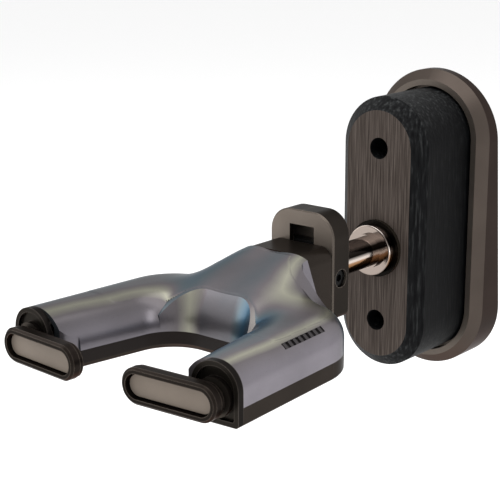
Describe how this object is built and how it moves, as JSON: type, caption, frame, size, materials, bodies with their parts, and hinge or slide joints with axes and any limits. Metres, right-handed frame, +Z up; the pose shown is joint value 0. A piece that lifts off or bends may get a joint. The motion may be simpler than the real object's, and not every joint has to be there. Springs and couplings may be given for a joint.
{
  "type": "guitar hanger",
  "caption": "Wall-mounted guitar hanger: wedge plate and wood block, swivelling shaft, and a yoke whose gates swing shut under the neck as the load pulls it down.",
  "frame": {"origin": "on the wall face of the back plate, level with the middle of the wood block", "axes": "-Y forward along the swivel shaft, +X to the right seen from the front, +Z up; the wall face leans 5 degrees"},
  "size_m": [0.1022, 0.206, 0.1252],
  "materials": {
    "plate_metal": "satin dark bronze",
    "dark_wood": "brushed dark stain",
    "fixing_steel": "zinc",
    "bronze_collar": "satin bronze",
    "polished_shaft": "polished",
    "housing_metal": "satin dark bronze",
    "black_screw": "black oxide",
    "bar_steel": "plain",
    "spring_steel": "plain",
    "slider_plastic": "smooth",
    "frame_dark": "satin dark bronze",
    "cover_silver": "satin metallic grey",
    "liner_rubber": "smooth",
    "cap_dark": "satin",
    "bush_dark": "satin",
    "vent_dark": "ribbed",
    "gate_dark": "satin",
    "pad_grey": "matte"
  },
  "bodies": {
    "base": {"back_plate": "plate_metal", "wood_block": "dark_wood", "block_screws": "fixing_steel", "shaft_bush": "bronze_collar"},
    "swivel": {"swivel_shaft": "polished_shaft", "thrust_washer": "fixing_steel", "lock_nut": "fixing_steel", "housing_left": "housing_metal", "housing_right": "housing_metal", "guide_screw_left": "black_screw", "guide_screw_right": "black_screw", "housing_dowel": "fixing_steel", "lift_bar": "bar_steel", "return_spring_left": "spring_steel", "return_spring_right": "spring_steel"},
    "yoke": {"slide_block": "slider_plastic", "yoke_frame": "frame_dark", "top_cover": "cover_silver", "cradle_liner": "liner_rubber", "cover_screws": "fixing_steel", "arm_cap_left": "cap_dark", "arm_cap_right": "cap_dark", "rod_bush_left": "bush_dark", "rod_bush_right": "bush_dark", "shoulder_vent_left": "vent_dark", "shoulder_vent_right": "vent_dark"},
    "gate_left": {"gate_body_left": "gate_dark", "gate_back_left": "gate_dark", "gate_pad_left": "pad_grey", "gate_rod_left": "bar_steel", "rod_clip_left": "fixing_steel", "gate_crank_left": "bar_steel"},
    "gate_right": {"gate_body_right": "gate_dark", "gate_back_right": "gate_dark", "gate_pad_right": "pad_grey", "gate_rod_right": "bar_steel", "rod_clip_right": "fixing_steel", "gate_crank_right": "bar_steel"}
  },
  "joints": [
    {"name": "yoke_swivel", "type": "hinge", "parent": "base", "child": "swivel", "pos_m": [0, -0.05, -0.00495], "axis": [0, 1, 0], "range_deg": [-45, 45]},
    {"name": "yoke_slide", "type": "slide", "parent": "swivel", "child": "yoke", "axis": [0, 0, 1], "range_m": [0, 0.0062], "deforming": ["return_spring_left", "return_spring_right"]},
    {"name": "gate_left_turn", "type": "hinge", "parent": "yoke", "child": "gate_left", "pos_m": [-0.042, -0.1909, -0.01565], "axis": [-0.0698, -0.9976, 0], "range_deg": [0, 90]},
    {"name": "gate_right_turn", "type": "hinge", "parent": "yoke", "child": "gate_right", "pos_m": [0.042, -0.1909, -0.01565], "axis": [-0.0698, 0.9976, 0], "range_deg": [0, 90]}
  ],
  "couplings": [
    {"joint": "gate_left_turn", "follows": "yoke_slide", "rad_per_m": 253.35},
    {"joint": "gate_right_turn", "follows": "yoke_slide", "rad_per_m": 253.35}
  ]
}
